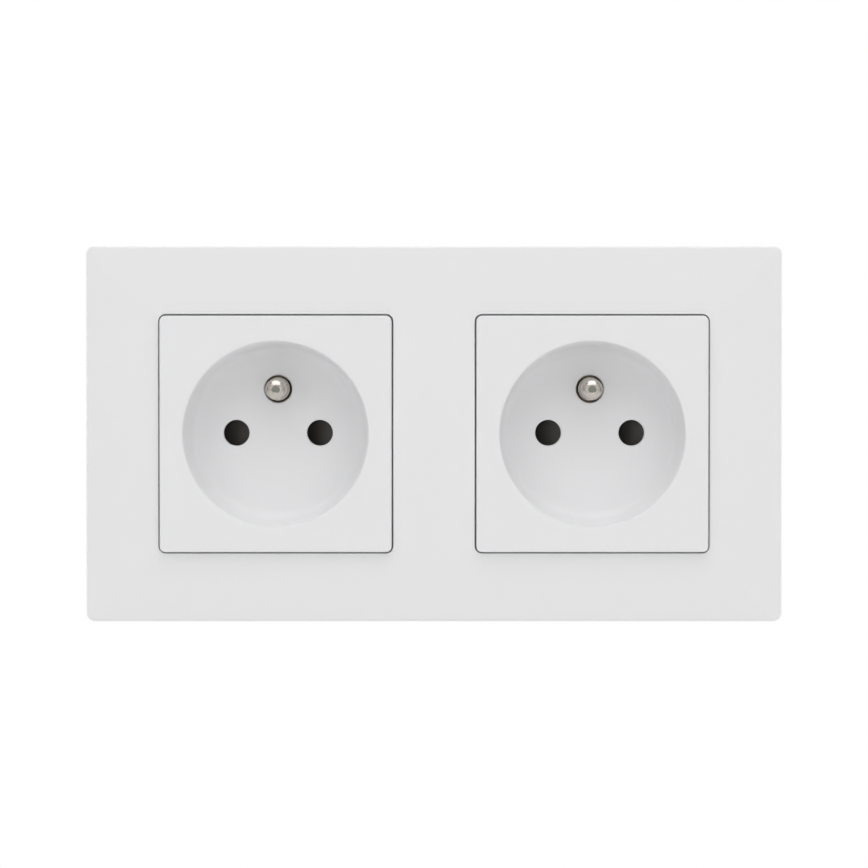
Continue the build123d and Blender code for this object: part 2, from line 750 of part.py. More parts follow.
os.makedirs("parts", exist_ok=True)
for name, solid in parts.items():
    solid.label = name
    export_step(solid, "parts/" + name + ".step")
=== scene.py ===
import json
from math import atan2, cos, pi, radians, sin, sqrt

import bmesh
import bpy
import numpy as np
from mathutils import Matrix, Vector, geometry


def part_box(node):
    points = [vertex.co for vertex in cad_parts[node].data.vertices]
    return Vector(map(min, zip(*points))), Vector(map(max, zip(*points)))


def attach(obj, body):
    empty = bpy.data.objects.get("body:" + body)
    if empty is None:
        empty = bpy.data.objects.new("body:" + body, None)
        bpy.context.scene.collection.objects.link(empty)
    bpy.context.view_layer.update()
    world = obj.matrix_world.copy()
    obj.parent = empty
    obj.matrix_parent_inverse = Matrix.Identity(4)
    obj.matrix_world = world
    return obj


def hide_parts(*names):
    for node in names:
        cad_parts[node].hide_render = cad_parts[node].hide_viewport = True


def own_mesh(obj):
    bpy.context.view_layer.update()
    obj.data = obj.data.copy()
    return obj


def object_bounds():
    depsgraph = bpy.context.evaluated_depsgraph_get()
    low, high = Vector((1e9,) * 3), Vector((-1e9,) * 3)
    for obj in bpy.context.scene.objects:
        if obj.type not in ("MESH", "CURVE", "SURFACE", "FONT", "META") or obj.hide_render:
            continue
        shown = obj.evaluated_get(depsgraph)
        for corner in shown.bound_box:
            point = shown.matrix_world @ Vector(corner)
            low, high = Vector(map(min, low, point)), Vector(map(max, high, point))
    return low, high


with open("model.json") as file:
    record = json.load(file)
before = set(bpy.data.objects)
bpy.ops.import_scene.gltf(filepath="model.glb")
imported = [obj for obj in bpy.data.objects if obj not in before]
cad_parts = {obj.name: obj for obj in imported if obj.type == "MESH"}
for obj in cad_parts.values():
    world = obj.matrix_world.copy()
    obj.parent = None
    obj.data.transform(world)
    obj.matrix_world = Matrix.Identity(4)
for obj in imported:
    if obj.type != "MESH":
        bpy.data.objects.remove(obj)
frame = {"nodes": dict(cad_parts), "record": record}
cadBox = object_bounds()
nodes = frame["nodes"]
slotOf = {part["node"]: part["material_slot"] for part in frame["record"]["subparts"]}
mm = 0.001  # shapes are worked out in millimetres and put into the mesh in metres
weldDistance = 2e-7  # points of a mesh that are nearer than this are merged, in metres
flatTolerance = 1e-6  # the same for the triangles of a flat sheet, in millimetres
gangs = ("left", "right")
print("frame loaded:", len(nodes), "nodes")


# Points and faces

def boxInMm(node):  # lowest and highest corner of a CAD node
    low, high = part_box(node)
    return np.array(low) / mm, np.array(high) / mm


def roundedLoop(left, right, low, high, radii, steps, lean=(45, 45, 45, 45)):
    # Rounded rectangle, walked anticlockwise from its right side: corner k turns a quarter circle about a
    # centre pulled in by its radius, the middle sample at its lean angle, and sides run straight between.
    radii = np.asarray(radii, float)[:, None]
    half = steps["corner"] // 2
    share = np.linspace(0, 1, half + 1)
    first = np.radians(lean)[:, None] * share
    second = np.radians(lean)[:, None] * (1 - share[1:]) + pi / 2 * share[1:]
    angle = np.hstack([first, second]) + np.arange(4)[:, None] * pi / 2
    centreX = np.array([[right], [left], [left], [right]]) + radii * np.array([[-1], [1], [1], [-1]])
    centreZ = np.array([[high], [high], [low], [low]]) + radii * np.array([[-1], [-1], [1], [1]])
    arcs = np.stack([centreX + radii * np.cos(angle), centreZ + radii * np.sin(angle)], axis=-1)
    along = np.linspace(0, 1, steps["side"] + 1)[1:-1, None]
    sides = arcs[:, -1:] * (1 - along) + np.roll(arcs[:, :1], -1, axis=0) * along
    return np.hstack([arcs, sides]).reshape(-1, 2)


def circleLoop(centre, radius, count):
    turn = np.arange(count) * 2 * pi / count
    return np.asarray(centre) + radius * np.column_stack([np.cos(turn), np.sin(turn)])


def gridQuads(rowCount, columnCount):
    # quads between neighbouring rows; the columns close on themselves
    row = np.arange(rowCount - 1)[:, None] * columnCount
    column = np.arange(columnCount)[None, :]
    ahead = (column + 1) % columnCount
    corners = [row + column, row + ahead, row + columnCount + ahead, row + columnCount + column]
    return np.stack(corners, axis=-1).reshape(-1, 4)


def rowPoints(rows):
    # a row is a path in the wall plane with a height into the room, which is towards -Y
    return np.concatenate([
        np.column_stack([path[:, 0], -np.broadcast_to(height, len(path)), path[:, 1]])
        for path, height in rows])


def loft(rows):
    return rowPoints(rows), gridQuads(len(rows), len(rows[0][0]))


def turned(centre, profile, count):
    # profile of radius and height carried once round an axis through centre; a zero radius makes a pole
    return loft([(circleLoop(centre, radius, count), height) for radius, height in profile])


def holedDisc(outline, holes, height, holeCount):
    # flat sheet between a convex outline and round holes: constrained triangles, less those in a hole
    loops = [outline] + [circleLoop(centre, radius, holeCount) for centre, radius in holes]
    starts = np.cumsum([0] + [len(loop) for loop in loops[:-1]])
    edges = np.concatenate([
        start + np.column_stack([np.arange(len(loop)), np.roll(np.arange(len(loop)), -1)])
        for loop, start in zip(loops, starts)])
    flat, _, faces, _, _, _ = geometry.delaunay_2d_cdt(
        [Vector(point) for point in np.concatenate(loops).tolist()], edges.tolist(), [], 0, flatTolerance)
    flat = np.array([point[:] for point in flat])
    faces = np.array(faces)
    middle = flat[faces].mean(axis=1)
    keep = np.ones(len(faces), bool)
    for centre, radius in holes:
        keep &= np.linalg.norm(middle - np.asarray(centre), axis=1) > radius * cos(pi / holeCount)
    return rowPoints([(flat, height)]), faces[keep]


def prism(profile, placeX, placeZ, outward, halfWidth):
    # closed profile of reach and height, carried straight across its own plane
    reach, height = np.asarray(profile, float).T
    across = np.array([-outward[1], outward[0]])
    base = np.array([placeX, placeZ]) + reach[:, None] * np.asarray(outward)
    points, quads = loft([(base - halfWidth * across, height), (base + halfWidth * across, height)])
    caps = np.arange(2 * len(reach)).reshape(2, -1)
    return [(points, quads), (points, caps)]


def block(lowX, highX, lowH, highH, lowZ, highZ):
    path = np.array([[highX, highZ], [lowX, highZ], [lowX, lowZ], [highX, lowZ]], float)
    points, quads = loft([(path, lowH), (path, highH)])
    return [(points, quads), (points, np.arange(8).reshape(2, 4))]


def buildPiece(name, sheets, crease=35):
    # sheets become one mesh: doubles merged, faces turned outwards, edges past the crease angle kept hard
    starts = np.cumsum([0] + [len(points) for points, _ in sheets[:-1]])
    points = np.concatenate([points for points, _ in sheets]) * mm
    faces = [face for (_, part), start in zip(sheets, starts)
             for face in (np.asarray(part) + start).tolist()]
    mesh = bpy.data.meshes.new(name)
    mesh.from_pydata(points.tolist(), [], faces)
    return finishMesh(name, mesh, crease)


def finishMesh(name, mesh, crease, flatLimit=0):
    work = bmesh.new()
    work.from_mesh(mesh)
    bmesh.ops.remove_doubles(work, verts=work.verts, dist=weldDistance)
    bmesh.ops.dissolve_degenerate(work, edges=work.edges, dist=weldDistance)
    if flatLimit:
        bmesh.ops.dissolve_limit(work, angle_limit=radians(flatLimit), verts=work.verts, edges=work.edges)
    bmesh.ops.recalc_face_normals(work, faces=work.faces)
    work.to_mesh(mesh)
    work.free()
    mesh.shade_smooth()
    mesh.set_sharp_from_angle(angle=radians(crease))
    piece = bpy.data.objects.new(name, mesh)
    bpy.context.scene.collection.objects.link(piece)
    return piece


def settle(piece, body, finish, *replaced):
    # finish is the record's material slot
    piece.data.materials.clear()
    piece.data.materials.append(finishes[finish])
    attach(piece, body)
    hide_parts(*replaced)


# Shader groups

def makeGroup(name, inputs, outputs):
    group = bpy.data.node_groups.new(name, "ShaderNodeTree")
    kinds = {"value": "NodeSocketFloat", "colour": "NodeSocketColor", "vector": "NodeSocketVector"}
    for socket, kind in inputs.items():
        group.interface.new_socket(name=socket, in_out="INPUT", socket_type=kinds[kind])
    for socket, kind in outputs.items():
        group.interface.new_socket(name=socket, in_out="OUTPUT", socket_type=kinds[kind])
    return group, group.nodes.new("NodeGroupInput"), group.nodes.new("NodeGroupOutput")


def addNode(tree, kind, settings=None, values=None):
    node = tree.nodes.new(kind)
    for name, value in (settings or {}).items():
        setattr(node, name, value)
    for name, value in (values or {}).items():
        node.inputs[name].default_value = value
    return node


def blendColours(tree, factor, colourA, colourB):
    # a Mix node takes its factor at socket 0, and for colours it uses inputs 6 and 7 and output 2
    mix = addNode(tree, "ShaderNodeMix", {"data_type": "RGBA"})
    tree.links.new(factor, mix.inputs[0])
    tree.links.new(colourA, mix.inputs[6])
    tree.links.new(colourB, mix.inputs[7])
    return mix.outputs[2]


noiseMiddle = {"From Min": 0.3, "From Max": 0.7}


def spread(tree, value, low, high):
    # the middle of a noise value's range, stretched between two inputs
    ranged = addNode(tree, "ShaderNodeMapRange", values=noiseMiddle)
    tree.links.new(value, ranged.inputs["Value"])
    tree.links.new(low, ranged.inputs["To Min"])
    tree.links.new(high, ranged.inputs["To Max"])
    return ranged.outputs["Result"]


def makeMouldGrain():
    # moulded plastic: a broad drift of tone and gloss, and a fine skin texture for the bump
    group, given, result = makeGroup(
        "mouldGrain",
        {"Tint": "colour", "Shade": "colour", "Drift": "value", "Grain": "value",
         "Smooth": "value", "Dull": "value"},
        {"Color": "colour", "Roughness": "value", "Height": "value"})
    place = addNode(group, "ShaderNodeTexCoord")
    broad = addNode(group, "ShaderNodeTexNoise", values={"Detail": 3.0, "Roughness": 0.5})
    fine = addNode(group, "ShaderNodeTexNoise", values={"Detail": 2.0, "Roughness": 0.6})
    link = group.links.new
    for noise, scale in ((broad, "Drift"), (fine, "Grain")):
        link(place.outputs["Object"], noise.inputs["Vector"])
        link(given.outputs[scale], noise.inputs["Scale"])
    link(blendColours(group, broad.outputs["Fac"], given.outputs["Tint"], given.outputs["Shade"]),
         result.inputs["Color"])
    link(spread(group, broad.outputs["Fac"], given.outputs["Smooth"], given.outputs["Dull"]),
         result.inputs["Roughness"])
    link(fine.outputs["Fac"], result.inputs["Height"])
    return group


def makeDrawnMetal():
    # drawn or rolled metal: fine streaks along one direction over a cloudy patina
    group, given, result = makeGroup(
        "drawnMetal",
        {"Tint": "colour", "Shade": "colour", "Stretch": "vector", "Cloud": "value",
         "Smooth": "value", "Dull": "value"},
        {"Color": "colour", "Roughness": "value", "Height": "value"})
    place = addNode(group, "ShaderNodeTexCoord")
    stretch = addNode(group, "ShaderNodeMapping")
    streaks = addNode(group, "ShaderNodeTexNoise", values={"Scale": 1.0, "Detail": 3.0, "Roughness": 0.6})
    cloud = addNode(group, "ShaderNodeTexNoise", values={"Detail": 4.0, "Roughness": 0.6})
    streakShare = 0.45
    both = addNode(group, "ShaderNodeMix", {"data_type": "FLOAT"}, {0: streakShare})
    link = group.links.new
    link(place.outputs["Object"], stretch.inputs["Vector"])
    link(given.outputs["Stretch"], stretch.inputs["Scale"])
    link(stretch.outputs["Vector"], streaks.inputs["Vector"])
    link(place.outputs["Object"], cloud.inputs["Vector"])
    link(given.outputs["Cloud"], cloud.inputs["Scale"])
    link(cloud.outputs["Fac"], both.inputs[2])
    link(streaks.outputs["Fac"], both.inputs[3])
    link(blendColours(group, cloud.outputs["Fac"], given.outputs["Tint"], given.outputs["Shade"]),
         result.inputs["Color"])
    link(spread(group, both.outputs[0], given.outputs["Smooth"], given.outputs["Dull"]),
         result.inputs["Roughness"])
    link(streaks.outputs["Fac"], result.inputs["Height"])
    return group


mouldGrain = makeMouldGrain()
drawnMetal = makeDrawnMetal()


def makeFinish(name, group, look):
    # One Principled shader fed by a group. The bump's depth is a real height in metres, and on the points
    # that an attribute marks a darker tone is painted in as shade.
    material = bpy.data.materials.new(name)
    material.use_nodes = True
    tree = material.node_tree
    shader = tree.nodes["Principled BSDF"]
    effect = addNode(tree, "ShaderNodeGroup", {"node_tree": group}, look["effect"])
    bump = addNode(tree, "ShaderNodeBump", values={"Strength": look["bump"], "Distance": look["depth"]})
    link = tree.links.new
    colour = effect.outputs["Color"]
    # painted shade: the base colour is blended towards a darker tone on the marked points
    if "recessShade" in look:
        shadeMask = addNode(tree, "ShaderNodeAttribute", {"attribute_name": look["recessShade"]["attribute"]})
        tone = addNode(tree, "ShaderNodeRGB")
        tone.outputs[0].default_value = look["recessShade"]["tone"]
        colour = blendColours(tree, shadeMask.outputs["Fac"], colour, tone.outputs[0])
    link(colour, shader.inputs["Base Color"])
    link(effect.outputs["Roughness"], shader.inputs["Roughness"])
    link(effect.outputs["Height"], bump.inputs["Height"])
    link(bump.outputs["Normal"], shader.inputs["Normal"])
    for socket, value in look["shader"].items():
        shader.inputs[socket].default_value = value
    return material


plasticLooks = {
    "frame_plastic": {
        "effect": {"Tint": (0.935, 0.935, 0.939, 1), "Shade": (0.922, 0.922, 0.926, 1), "Drift": 60,
                   "Grain": 2600, "Smooth": 0.38, "Dull": 0.44},
        "bump": 0.03, "depth": 5e-6, "shader": {"IOR": 1.49}},
    "cover_plastic": {
        "effect": {"Tint": (0.932, 0.932, 0.940, 1), "Shade": (0.919, 0.919, 0.927, 1), "Drift": 75,
                   "Grain": 2600, "Smooth": 0.37, "Dull": 0.43},
        "bump": 0.03, "depth": 5e-6, "shader": {"IOR": 1.49}},
    "shutter_plastic": {
        "effect": {"Tint": (0.092, 0.086, 0.077, 1), "Shade": (0.078, 0.073, 0.066, 1), "Drift": 300,
                   "Grain": 5000, "Smooth": 0.42, "Dull": 0.55},
        "bump": 0.2, "depth": 2e-5, "shader": {"IOR": 1.5}},
    "carrier_plastic": {
        "effect": {"Tint": (0.055, 0.055, 0.057, 1), "Shade": (0.043, 0.043, 0.045, 1), "Drift": 200,
                   "Grain": 4200, "Smooth": 0.48, "Dull": 0.6},
        "bump": 0.25, "depth": 2e-5, "shader": {"IOR": 1.5}},
    "base_plastic": {
        "effect": {"Tint": (0.47, 0.48, 0.49, 1), "Shade": (0.43, 0.44, 0.45, 1), "Drift": 110,
                   "Grain": 3000, "Smooth": 0.5, "Dull": 0.64},
        "bump": 0.35, "depth": 3e-5, "shader": {"IOR": 1.5}}}
metalLooks = {
    "yoke_steel": {
        "effect": {"Tint": (0.66, 0.67, 0.69, 1), "Shade": (0.59, 0.60, 0.62, 1),
                   "Stretch": (60, 900, 2400), "Cloud": 160, "Smooth": 0.27, "Dull": 0.45},
        "bump": 0.15, "depth": 1e-5, "shader": {"Metallic": 1.0}},
    "contact_bronze": {
        "effect": {"Tint": (0.50, 0.42, 0.32, 1), "Shade": (0.40, 0.33, 0.25, 1),
                   "Stretch": (2600, 300, 300), "Cloud": 220, "Smooth": 0.24, "Dull": 0.4},
        "bump": 0.15, "depth": 1e-5, "shader": {"Metallic": 1.0}},
    "pin_nickel": {
        "effect": {"Tint": (0.65, 0.60, 0.55, 1), "Shade": (0.59, 0.545, 0.50, 1),
                   "Stretch": (500, 4200, 500), "Cloud": 260, "Smooth": 0.22, "Dull": 0.30},
        "bump": 0.04, "depth": 1e-5, "shader": {"Metallic": 1.0},
        # the tip's recess takes a darker tone: painted shade standing for its dark reflection
        "recessShade": {"attribute": "markShade", "tone": (0.31, 0.31, 0.28, 1)}},
    "terminal_steel": {
        "effect": {"Tint": (0.63, 0.63, 0.63, 1), "Shade": (0.52, 0.52, 0.53, 1),
                   "Stretch": (1800, 200, 1800), "Cloud": 240, "Smooth": 0.3, "Dull": 0.48},
        "bump": 0.2, "depth": 1e-5, "shader": {"Metallic": 1.0}},
    "screw_steel": {
        "effect": {"Tint": (0.70, 0.65, 0.48, 1), "Shade": (0.60, 0.56, 0.45, 1),
                   "Stretch": (1600, 1600, 300), "Cloud": 300, "Smooth": 0.25, "Dull": 0.4},
        "bump": 0.15, "depth": 1e-5, "shader": {"Metallic": 1.0}},
    "spring_steel": {
        "effect": {"Tint": (0.58, 0.58, 0.59, 1), "Shade": (0.48, 0.48, 0.50, 1),
                   "Stretch": (3000, 3000, 3000), "Cloud": 500, "Smooth": 0.22, "Dull": 0.35},
        "bump": 0.1, "depth": 5e-6, "shader": {"Metallic": 1.0}}}
finishes = {name: makeFinish(name, mouldGrain, look) for name, look in plasticLooks.items()}
finishes.update({name: makeFinish(name, drawnMetal, look) for name, look in metalLooks.items()})
for name, node in nodes.items():
    for materialSlot in node.material_slots:
        materialSlot.material = finishes[slotOf[name]]
print("finishes made:", len(finishes))


# Cover frame: a pillow-shaped shell with two windows

frameShell = {
    "edgeHeight": 7.2, "edgeRound": 0.8, "corner": 2.1, "wall": 2.0,
    "reveal": 0.35, "windowCorner": 1.65, "windowRound": 0.2, "windowWall": 1.8,
    "ledgeWidth": 1.6, "ledgeLow": 3.6, "ledgeHigh": 5.2, "wallFoot": 1.3,
    "reliefHalf": 4.5, "reliefTop": 3.5, "ribThickness": 1.2, "ribFoot": 2.2, "ribBite": 0.4,
    "mitreBlend": 0.004, "leastCorner": 0.05, "skinEnds": (0.02, 0.985),
    "steps": {"corner": 12, "side": 48}, "skinSteps": 28, "ceilingSteps": 8, "roundSteps": 7}
frameLow, frameHigh = boxInMm("cover_frame")
coverLow, coverHigh = boxInMm("right_socket_cover")
gangX = {gang: float(sum(corner[0] for corner in boxInMm(gang + "_socket_cover")) / 2) for gang in gangs}


def pillowHeight(path, inset):
    # The lower of two equal crowned arcs, one across the frame's height and one over each end, with a soft
    # minimum where they cross on the mitre.
    shell = frameShell
    halfHeight = frameHigh[2]
    crown = -frameLow[1]
    rise = crown - shell["edgeHeight"]
    radius = (halfHeight ** 2 + rise ** 2) / (2 * rise)
    endReach = np.maximum(np.abs(path[:, 0]) - (frameHigh[0] - halfHeight), 0)
    across = np.sqrt((radius - inset) ** 2 - path[:, 1] ** 2)
    over = np.sqrt((radius - inset) ** 2 - endReach ** 2)
    soft = np.sqrt((over - across) ** 2 + shell["mitreBlend"] ** 2)
    return crown - radius + (over + across - soft) / 2


def makeFrameShell():
    # Half of the frame is one closed profile carried round a window: reveal, front skin, outer edge, side,
    # rear rim, hollow, window wall and ledge. The half is mirrored, and both meet on the middle line.
    shell = frameShell
    steps = shell["steps"]
    centre = gangX["right"]
    halfX = (coverHigh[0] - coverLow[0]) / 2 + shell["reveal"]
    halfZ = (coverHigh[2] - coverLow[2]) / 2 + shell["reveal"]
    mitreShift = (frameHigh[0] - frameHigh[2]) - (centre + halfX - halfZ)
    lean = 45 - np.degrees(np.arcsin(mitreShift / (sqrt(2) * shell["windowCorner"])))

    def window(grow):
        corner = max(shell["windowCorner"] + grow, shell["leastCorner"])
        return roundedLoop(centre - halfX - grow, centre + halfX + grow, -halfZ - grow, halfZ + grow,
                           [corner] * 4, steps, (90 - lean, 45, 45, lean))

    def outer(inset):
        corner = max(shell["corner"] - inset, shell["leastCorner"])
        return roundedLoop(0, frameHigh[0] - inset, frameLow[2] + inset, frameHigh[2] - inset,
                           [corner, 0, 0, corner], steps)

    turn = np.radians(np.linspace(0, 90, shell["roundSteps"] + 1))
    lipPath = window(shell["windowRound"])
    lipHeight = pillowHeight(lipPath, 0)
    rimPath = outer(shell["edgeRound"])
    rimHeight = pillowHeight(rimPath, 0)
    hollowRim = outer(shell["wall"])
    hollowWindow = window(shell["windowWall"])
    firstShare, lastShare = shell["skinEnds"]
    share = np.concatenate([[firstShare], np.linspace(0, 1, shell["skinSteps"])[1:-1], [lastShare]])

    rows = [(window(0), shell["ledgeHigh"])]
    rows += [(window(shell["windowRound"] * (1 - cos(t))), lipHeight - shell["windowRound"] * (1 - sin(t)))
             for t in turn]
    skin = [lipPath * (1 - s) + rimPath * s for s in share]
    rows += [(path, pillowHeight(path, 0)) for path in skin]
    skinEnd = len(rows)
    rows += [(outer(shell["edgeRound"] * (1 - sin(t))), rimHeight - shell["edgeRound"] * (1 - cos(t)))
             for t in turn]
    rows += [(outer(0), 0.0), (hollowRim, 0.0)]
    hollowStart = len(rows)
    ceiling = [hollowRim * (1 - s) + hollowWindow * s for s in np.linspace(0, 1, shell["ceilingSteps"])]
    rows += [(path, pillowHeight(path, shell["wall"])) for path in ceiling]
    # the window wall's foot is raised at the middle of each side, to clear the heads of the box screws
    fromMiddle = np.minimum(np.abs(hollowWindow[:, 0] - centre), np.abs(hollowWindow[:, 1]))
    wallFoot = np.where(fromMiddle < shell["reliefHalf"], shell["reliefTop"], shell["wallFoot"])
    rows += [(hollowWindow, wallFoot), (window(0), wallFoot),
             (window(0), shell["ledgeLow"]), (window(-shell["ledgeWidth"]), shell["ledgeLow"]),
             (window(-shell["ledgeWidth"]), shell["ledgeHigh"]), (window(0), shell["ledgeHigh"])]

    # the outer edge, side and rim are left open on the middle line, where the halves meet
    points, quads = loft(rows)
    row, column = np.divmod(np.arange(len(quads)), len(lipPath))
    quarter = steps["corner"] + steps["side"]
    onSeam = (column >= quarter) & (column < 2 * quarter + steps["corner"])
    quads = quads[~(onSeam & (row >= skinEnd) & (row < hollowStart))]
    mirrored = points * np.array([-1, 1, 1])
    sheets = [(points, quads), (mirrored, quads[:, ::-1])]

    # ribs from the window walls to the rim, and between the windows, each biting into the walls it joins
    bite = shell["ribBite"]
    thick = shell["ribThickness"] / 2
    foot = shell["ribFoot"]
    top = shell["edgeHeight"] - bite
    wallX = halfX + shell["windowWall"] - bite
    wallZ = halfZ + shell["windowWall"] - bite
    endX = frameHigh[0] - shell["wall"] + bite
    endZ = frameHigh[2] - shell["wall"] + bite
    for side in (-1, 1):
        for x in gangX.values():
            for offset in (-halfX / 2, halfX / 2):
                low, high = sorted((side * wallZ, side * endZ))
                sheets += block(x + offset - thick, x + offset + thick, foot, top, low, high)
        for level in (-halfZ / 2, halfZ / 2):
            low, high = sorted((side * (centre + wallX), side * endX))
            sheets += block(low, high, foot, top, level - thick, level + thick)
    for level in (-halfZ / 2, halfZ / 2):
        sheets += block(wallX - centre, centre - wallX, foot, top, level - thick, level + thick)
    return buildPiece("frameShell", sheets)


settle(makeFrameShell(), "outlet", "frame_plastic", "cover_frame")
print("frame shell done")


# Socket covers: plate, plug well and its holes, cup and snap hooks

coverShell = {
    "corner": 1.3, "edgeRound": 0.4, "skirtWall": 1.8, "skirtFoot": 5.3, "plate": 2.0,
    "wellDepth": 15.0, "mouthRadius": 20.75, "floorRadius": 19.8, "lipRound": 0.5, "floorRound": 2.2,
    "cupRadius": 21.5, "pinHalf": 9.5, "pinHole": 2.95, "earthOffset": 10.0, "earthHole": 3.15,
    "holeChamfer": 0.2, "flatBand": 0.2, "floorBand": 0.3, "leastCorner": 0.3,
    "hookReach": (25.9, 27.5, 28.3), "hookHalfWidth": 2.0, "hookEnd": -2.4, "hookNose": 1.9,
    "hookTurns": (45, 135, 225, 315),
    "steps": {"corner": 12, "side": 52}, "faceSteps": 8, "roundSteps": 7, "wallSteps": 12, "holeCount": 96}


def makeCover(gang):
    # Rings from the skirt over the plate's edge and face, round the lip and down the well to its floor, then
    # behind: the cup, the plate's underside and the skirt. The floor is flat, with three chamfered holes.
    cover = coverShell
    low, high = boxInMm(gang + "_socket_cover")
    middle = np.array([gangX[gang], 0.0])
    face = -low[1]
    rear = -high[1]
    floor = face - cover["wellDepth"]

    def plate(inset):
        corner = max(cover["corner"] - inset, cover["leastCorner"])
        return roundedLoop(low[0] + inset, high[0] - inset, low[2] + inset, high[2] - inset,
                           [corner] * 4, cover["steps"])

    outline = plate(0) - middle
    direction = outline / np.linalg.norm(outline, axis=1)[:, None]

    def ring(radius):
        return middle + radius * direction

    draft = (cover["mouthRadius"] - cover["floorRadius"]) / cover["wellDepth"]
    lip = cover["lipRound"]
    edge = cover["edgeRound"]
    bend = cover["floorRound"]
    wallTop = cover["mouthRadius"] - lip * draft
    wallFoot = cover["floorRadius"] + bend * draft
    turn = np.radians(np.linspace(0, 90, cover["roundSteps"] + 1))
    inner = plate(cover["skirtWall"])
    rows = [(inner, cover["skirtFoot"]), (plate(0), cover["skirtFoot"])]
    rows += [(plate(edge * (1 - cos(t))), face - edge * (1 - sin(t))) for t in turn]
    faceStart = plate(edge + cover["flatBand"])
    faceEnd = ring(wallTop + lip + cover["flatBand"])
    rows += [(faceStart * (1 - s) + faceEnd * s, face) for s in np.linspace(0, 1, cover["faceSteps"])]
    rows += [(ring(wallTop + lip * (1 - sin(t))), face - lip * (1 - cos(t))) for t in turn]
    drop = np.linspace(0, 1, cover["wallSteps"] + 1)[1:-1]
    rows += [(ring(wallTop * (1 - s) + wallFoot * s), (face - lip) * (1 - s) + (floor + bend) * s)
             for s in drop]
    rows += [(ring(wallFoot - bend * (1 - cos(t))), floor + bend * (1 - sin(t))) for t in turn]
    floorRing = ring(wallFoot - bend - cover["floorBand"])
    rows += [(floorRing, floor)]
    sheets = [loft(rows)]

    cup = ring(cover["cupRadius"])
    underside = face - cover["plate"]
    sheets.append(loft([(cup, rear), (cup, underside), (inner, underside), (inner, cover["skirtFoot"])]))

    holes = [(middle + np.array([-cover["pinHalf"], 0]), cover["pinHole"]),
             (middle + np.array([cover["pinHalf"], 0]), cover["pinHole"]),
             (middle + np.array([0, cover["earthOffset"]]), cover["earthHole"])]
    chamfer = cover["holeChamfer"]
    count = cover["holeCount"]
    sheets.append(holedDisc(floorRing, [(at, radius + chamfer) for at, radius in holes], floor, count))
    sheets.append(holedDisc(cup, holes, rear, count))
    for at, radius in holes:
        bore = [(radius + chamfer, floor), (radius, floor - chamfer), (radius, rear)]
        sheets.append(turned(at, bore, count))

    # snap hooks, rooted in the plate
    near, far, nose = cover["hookReach"]
    root = underside + cover["plate"] / 4
    end = cover["hookEnd"]
    top = end + cover["hookNose"]
    hook = [(near, root), (near, end), (far, end), (nose, (end + top) / 2), (nose, top), (far, top),
            (far, root)]
    for hookTurn in np.radians(cover["hookTurns"]):
        outward = (cos(hookTurn), sin(hookTurn))
        sheets += prism(hook, middle[0], middle[1], outward, cover["hookHalfWidth"])
    return buildPiece(gang + "Cover", sheets)


for gang in gangs:
    settle(makeCover(gang), "outlet", "cover_plastic", gang + "_socket_cover")
print("socket covers done")


# Earth pins: turned pins with a domed tip, a shallow centre mark, a shoulder and a riveted foot

earthPin = {
    "radius": 2.4, "domeRise": 1.5, "flatRadius": 0.95, "markDepth": 0.15, "markRadius": 0.72,
    "markRim": 0.75, "plainBand": 2.0, "shoulderRadius": 2.65, "shoulderFront": -4.6, "neckRadius": 1.5,
    "headRadius": 2.2, "headChamfer": 0.4, "seat": -14.1, "strip": 0.8, "edge": 0.12,
    "domeSteps": 18, "count": 96}


def makeEarthPin(gang):
    # one profile turned about the pin's axis; the dome is part of an ellipse, from flat to side
    pin = earthPin
    low, high = boxInMm(gang + "_earth_pin")
    tip = -low[1]
    foot = -high[1]
    axis = ((low[0] + high[0]) / 2, (low[2] + high[2]) / 2)
    turn = np.linspace(np.arccos(pin["flatRadius"] / pin["radius"]), 0, pin["domeSteps"])
    domeBase = tip - pin["domeRise"] * sin(turn[0])
    under = pin["seat"] - pin["strip"]
    edge = pin["edge"]
    profile = [(0, tip - pin["markDepth"]), (pin["markRadius"], tip - pin["markDepth"]),
               (pin["flatRadius"] - edge, tip - pin["markDepth"] * pin["markRim"]),
               (pin["flatRadius"], tip)]
    profile += [(pin["radius"] * cos(t), domeBase + pin["domeRise"] * sin(t)) for t in turn[1:]]
    profile += [(pin["radius"], domeBase - pin["plainBand"]), (pin["radius"], pin["shoulderFront"]),
                (pin["shoulderRadius"] - edge, pin["shoulderFront"]),
                (pin["shoulderRadius"], pin["shoulderFront"] - edge), (pin["shoulderRadius"], pin["seat"]),
                (pin["neckRadius"], pin["seat"]), (pin["neckRadius"], under), (pin["headRadius"], under),
                (pin["headRadius"], foot + pin["headChamfer"]),
                (pin["headRadius"] - pin["headChamfer"], foot), (0, foot)]
    piece = buildPiece(gang + "EarthPin", [turned(axis, profile, pin["count"])])

    # an attribute marks the recess in the tip, where the finish paints shade: 1 on its points, 0 elsewhere
    points = np.empty(len(piece.data.vertices) * 3)
    piece.data.vertices.foreach_get("co", points)
    points = points.reshape(-1, 3) / mm
    reach = np.hypot(points[:, 0] - axis[0], points[:, 2] - axis[1])
    inMark = (reach < pin["flatRadius"] - edge / 2) & (-points[:, 1] > domeBase)
    mark = piece.data.attributes.new("markShade", "FLOAT", "POINT")
    mark.data.foreach_set("value", inMark.astype(np.float32))
    return piece


for gang in gangs:
    settle(makeEarthPin(gang), "outlet", "pin_nickel", gang + "_earth_pin")
print("earth pins done")


# Shutter springs: round wire wound on a helix, which the shutter squeezes as it slides; here drawn at one
# length

coilSpring = {"wire": 0.35, "turns": 8, "ring": 12, "stepsPerTurn": 36, "travel": 6.2, "fixedEnd": 9.0,
              "length": 13.0, "crease": 60}


